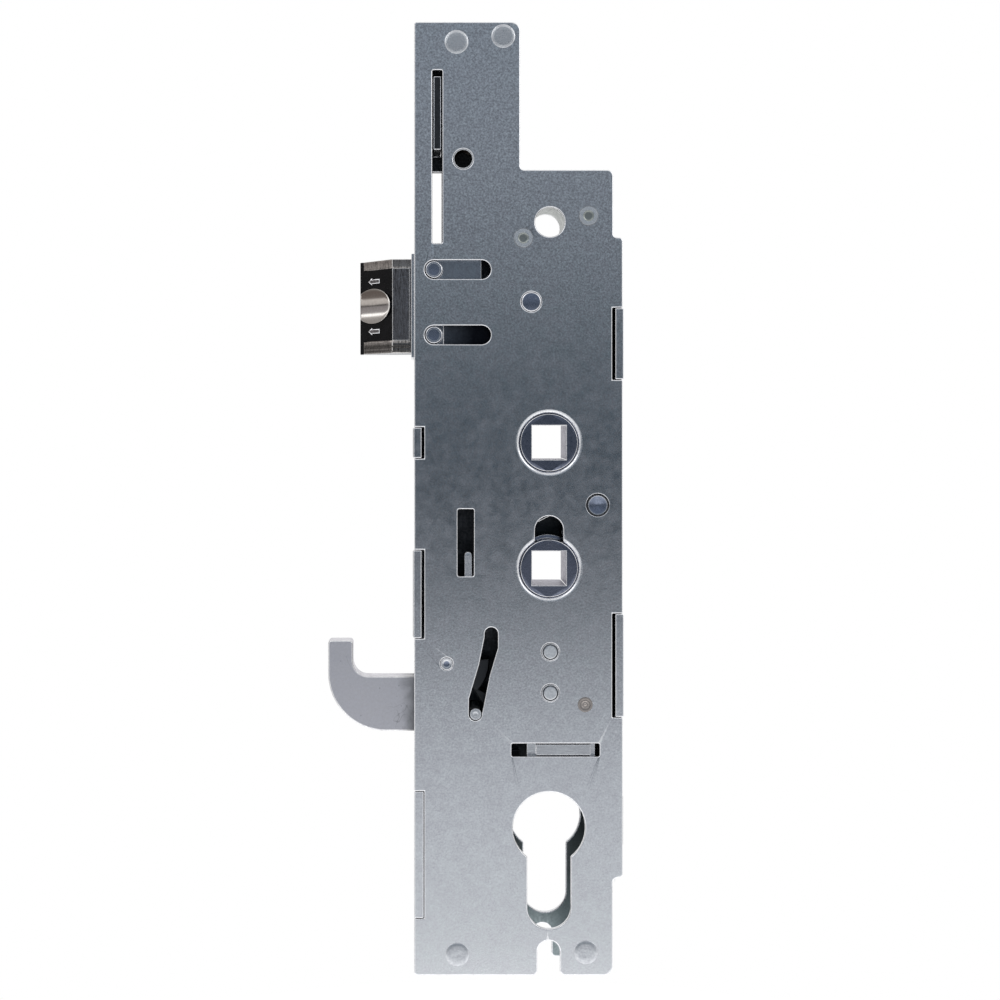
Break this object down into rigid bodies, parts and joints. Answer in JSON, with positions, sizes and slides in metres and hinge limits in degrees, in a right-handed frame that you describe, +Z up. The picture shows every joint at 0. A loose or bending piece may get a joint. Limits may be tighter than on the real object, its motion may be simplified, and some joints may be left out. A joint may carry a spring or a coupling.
{
  "type": "multipoint door lock centre case",
  "caption": "Narrow riveted lock case with a reversible sprung latch, two square spindle followers, drive slides, a swinging hook bolt and a profile cylinder hole.",
  "frame": {"origin": "axis of the cylinder hole's round head, at half the case's depth", "axes": "+Z up along the case, +X from the door's edge into the door, -Y towards the cover with the slots"},
  "size_m": [0.071, 0.0172, 0.2275],
  "materials": {
    "zinc_plate": "satin zinc plate with fine grain",
    "rivet_steel": "bright zinc plate",
    "dark_steel": "dull zinc plate, oiled",
    "spring_wire": "drawn spring steel",
    "cast_zinc": "plated die casting",
    "latch_metal": "nickel plate",
    "black_plastic": "glossy",
    "hook_steel": "cast and tumbled",
    "brown_rivet": "plain rivet"
  },
  "bodies": {
    "case": {"front_cover": "zinc_plate", "rear_case": "zinc_plate", "corner_rivets": "rivet_steel", "dimpled_rivets": "rivet_steel", "fixing_tube": "zinc_plate", "tapped_bush": "dark_steel", "latch_collar": "zinc_plate", "lever_pivot": "rivet_steel", "hook_pivot": "rivet_steel", "detent_pivot": "rivet_steel", "detent_spring": "spring_wire", "spring_anchor": "rivet_steel", "guide_block": "dark_steel", "guide_posts": "rivet_steel", "stop_rivet": "brown_rivet", "deadlock_spring": "spring_wire"},
    "latch": {"latch_head": "latch_metal", "latch_tip": "black_plastic", "latch_button": "latch_metal", "latch_carriage": "dark_steel", "latch_guide_pins": "rivet_steel"},
    "latch_lever": {"latch_lever": "dark_steel", "latch_spring": "spring_wire"},
    "lower_slide": {"lower_slide": "dark_steel"},
    "upper_slide": {"upper_slide": "zinc_plate"},
    "reversing_lever": {"reversing_lever": "dark_steel"},
    "upper_follower": {"upper_follower": "cast_zinc"},
    "lower_follower": {"lower_follower": "cast_zinc"},
    "hook": {"hook": "hook_steel"},
    "drive_pin": {"hook_drive_pin": "rivet_steel"},
    "deadlock": {"deadlock_slide": "zinc_plate"},
    "detent_lever": {"detent_lever": "dark_steel"}
  },
  "joints": [
    {"name": "latch_in", "type": "slide", "parent": "case", "child": "latch", "axis": [1, 0, 0], "range_m": [0, 0.0112], "stiffness_N_per_m": 250, "springref_m": -0.012},
    {"name": "latch_lever_turn", "type": "hinge", "parent": "case", "child": "latch_lever", "pos_m": [-0.00425, 0, 0.1256], "axis": [0, -1, 0], "range_deg": [0, 72.34]},
    {"name": "drive", "type": "slide", "parent": "case", "child": "lower_slide", "axis": [0, 0, 1], "range_m": [0, 0.0188]},
    {"name": "upper_drive", "type": "slide", "parent": "case", "child": "upper_slide", "axis": [0, 0, -1], "range_m": [0, 0.0188]},
    {"name": "reversing_turn", "type": "hinge", "parent": "case", "child": "reversing_lever", "pos_m": [-0.00425, 0, 0.1256], "axis": [0, -1, 0], "range_deg": [0, 80.92]},
    {"name": "upper_spindle_turn", "type": "hinge", "parent": "case", "child": "upper_follower", "pos_m": [0, 0, 0.092], "axis": [0, 1, 0], "range_deg": [0, 54.1]},
    {"name": "lower_spindle_turn", "type": "hinge", "parent": "case", "child": "lower_follower", "pos_m": [0, 0, 0.062], "axis": [0, 1, 0], "range_deg": [0, 54.1]},
    {"name": "hook_swing", "type": "hinge", "parent": "case", "child": "hook", "pos_m": [-0.02445, 0, 0.0392], "axis": [0, -1, 0], "range_deg": [0, 90.1]},
    {"name": "drive_pin_run", "type": "slide", "parent": "case", "child": "drive_pin", "axis": [0.1951, 0, 0.9808], "range_m": [0, 0.01919]},
    {"name": "deadlock_slide", "type": "slide", "parent": "case", "child": "deadlock", "axis": [-1, 0, 0], "range_m": [0, 0.0055]},
    {"name": "detent_rock", "type": "hinge", "parent": "case", "child": "detent_lever", "pos_m": [0.0116, 0, 0.0771], "axis": [0, 1, 0], "range_deg": [0, 6], "stiffness_Nm_per_rad": 0.05, "springref_deg": -22.92}
  ],
  "couplings": [
    {"joint": "latch_lever_turn", "follows": "latch_in", "rad_per_m": 112.57},
    {"joint": "upper_drive", "follows": "drive", "ratio": 1},
    {"joint": "reversing_turn", "follows": "drive", "rad_per_m": 75.034},
    {"joint": "upper_spindle_turn", "follows": "drive", "rad_per_m": 50.132},
    {"joint": "lower_spindle_turn", "follows": "drive", "rad_per_m": 50.132},
    {"joint": "hook_swing", "follows": "drive", "rad_per_m": 83.553},
    {"joint": "drive_pin_run", "follows": "drive", "ratio": 1.0196}
  ]
}
